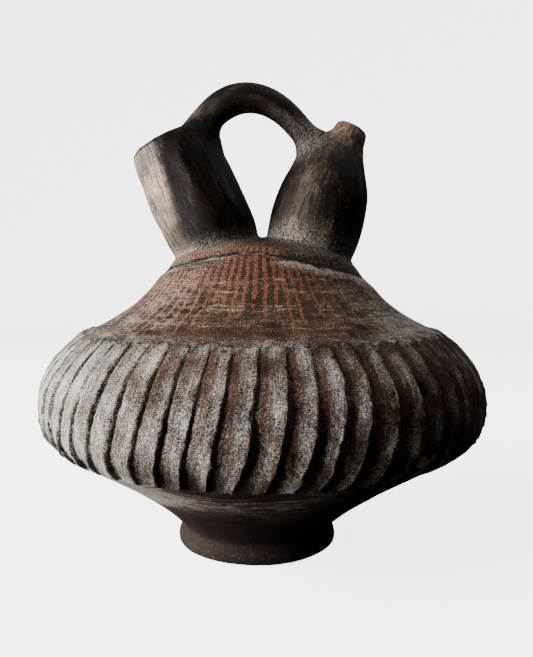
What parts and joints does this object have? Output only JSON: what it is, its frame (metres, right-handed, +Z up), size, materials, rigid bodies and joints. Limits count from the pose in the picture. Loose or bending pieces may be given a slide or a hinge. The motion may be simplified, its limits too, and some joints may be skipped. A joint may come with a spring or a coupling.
{
  "type": "kendi, double-spouted pouring vessel",
  "caption": "Hollow fired-clay kendi with a ribbed wide body, small foot, leaning filling spout, bulbous pouring spout with a nozzle, and an arched rod handle between them",
  "frame": {"origin": "centre of the vessel's box, on the plane that it stands on", "axes": "+Z up, the vessel's longest extent; -Y is the side seen in the picture; +X points to the pouring spout, -X to the filling spout"},
  "size_m": [0.2356, 0.2355, 0.2486],
  "materials": {
    "smoked_earthenware": "burnished, smoke-blackened, with faded red painted stripes and grey dust"
  },
  "bodies": {
    "root": {"body": "smoked_earthenware", "spouts_and_handle": "smoked_earthenware"}
  },
  "joints": []
}
